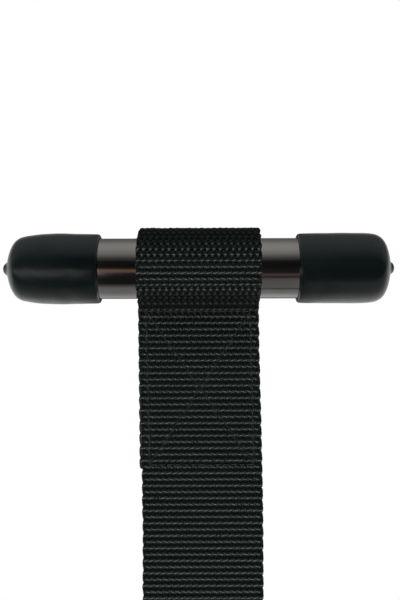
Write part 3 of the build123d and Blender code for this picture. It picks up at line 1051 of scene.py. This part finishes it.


# Painted reflections: each half of the bar mirrors its own bands, with a warm band low in front. The
# tent's ends, past 0.1 m from the middle, carry the bands the caps mirror.
left_bands = bands(
    (-180, 0.1), (-160, 0.15), (-139, 0.5), (-120, 0.34), (-105, 0.24), (-80, 0.2), (-70, 0.1),
    (-60, 0.012), (-19, 0.012), (-13, (0.2, 0.11, 0.08)), (-7, (0.2, 0.12, 0.09)), (-3, 0.02),
    (8, 0.008), (25, 0.014), (38, 0.08), (56, 0.26), (75, 0.35), (100, 0.37), (128, 0.18),
    (138, 0.18), (152, 0.12), (180, 0.1),
)
right_bands = bands(
    (-180, 0.1), (-160, 0.15), (-139, 0.55), (-125, 0.5), (-105, 0.26), (-90, 0.22), (-86, 0.06),
    (-80, 0.16), (-72, 0.16), (-44, 0.13), (-34, 0.03), (-26, (0.12, 0.085, 0.08)), (-18, 0.02),
    (8, 0.008), (25, 0.014), (38, 0.09), (56, 0.27), (75, 0.37), (100, 0.37), (128, 0.18),
    (138, 0.18), (152, 0.1), (180, 0.1),
)
left_cap_bands = bands(
    (-180, 0.9), (-139, 1.0), (-120, 0.9), (-105, 0.55), (-80, 0.3), (-60, 0.06), (-40, 0.06),
    (-30, 0.3), (-20, 0.9), (-8, 0.8), (0, 0.1), (14, 0.02), (25, 0.02), (38, 0.08),
    (56, 0.26), (75, 0.36), (100, 0.37), (128, 0.2), (138, 0.25), (152, 0.5), (180, 0.75),
)
right_cap_bands = bands(
    (-180, 0.9), (-139, 1.0), (-125, 1.0), (-105, 0.8), (-85, 0.35), (-65, 0.35), (-52, 0.4),
    (-42, 0.08), (-32, 0.01), (8, 0.008), (25, 0.02), (38, 0.08), (56, 0.26), (75, 0.36),
    (100, 0.37), (128, 0.2), (138, 0.25), (152, 0.5), (180, 0.75),
)
right_half = tent_light.ramp(tent_x + 0.5, (0.48, 0.0), (0.52, 1.0))
middle = tent_light.node("MixRGB", {}, {0: right_half, 1: left_bands, 2: right_bands})
from_middle = tent_light.node("Math", {"operation": "ABSOLUTE"}, {0: tent_x})
beside = tent_light.ramp(from_middle, (0.088, 0.0), (0.1, 1.0))
cap_sides = tent_light.node(
    "MixRGB", {}, {0: right_half, 1: left_cap_bands, 2: right_cap_bands}
)
walls = tent_light.node("MixRGB", {}, {0: beside, 1: middle, 2: cap_sides})
glow = tent_light.node("Emission", {}, {"Color": walls, "Strength": 1.0})
clear = tent_light.node("BsdfTransparent")
outer_face = tent_light.node("NewGeometry", output="Backfacing")
one_way = tent_light.node("MixShader", {}, {0: outer_face, 1: clear, 2: glow})
tent_light.node("OutputMaterial", {}, {"Surface": one_way})
tent.data.materials.append(tent_light.material)
tent.visible_camera = tent.visible_diffuse = tent.visible_shadow = False

room = bpy.data.worlds.new("white_room")
bpy.context.scene.world = room
room.use_nodes = True
room.node_tree.nodes["Background"].inputs["Color"].default_value = (1, 1, 1, 1)
room.node_tree.nodes["Background"].inputs["Strength"].default_value = 1.0
bpy.context.scene.view_settings.view_transform = "Standard"


def strip_light(name, place, width, height, watts):
    """A soft strip that faces the strap and lights only the cloth."""
    aim = Vector((0, 0, -0.08)) - Vector(place)
    light = bpy.data.lights.new(name, "AREA")
    light.shape, light.size, light.size_y, light.energy = "RECTANGLE", width, height, watts
    lamp = bpy.data.objects.new(name, light)
    bpy.context.collection.objects.link(lamp)
    lamp.location = place
    lamp.rotation_euler = aim.to_track_quat("-Z", "Y").to_euler()
    lamp.light_linking.receiver_collection = bpy.data.collections.new(name + "_lit")
    for piece in cloth_pieces:
        lamp.light_linking.receiver_collection.objects.link(piece)


strip_light("front_strip", (0, -1.0, -0.44), width=1.3, height=0.08, watts=41)
strip_light("top_strip", (0, -0.5, 0.9), width=1.3, height=0.4, watts=5)

camera = bpy.data.objects.new("camera", bpy.data.cameras.new("camera"))
bpy.context.collection.objects.link(camera)
camera.location = (0.55 * mm, -351 * mm, -13.25 * mm)
camera.rotation_euler = (pi / 2, radians(0.17), 0)
camera.data.lens, camera.data.sensor_width = 50, 36
camera.data.clip_start = 0.01
bpy.context.scene.camera = camera
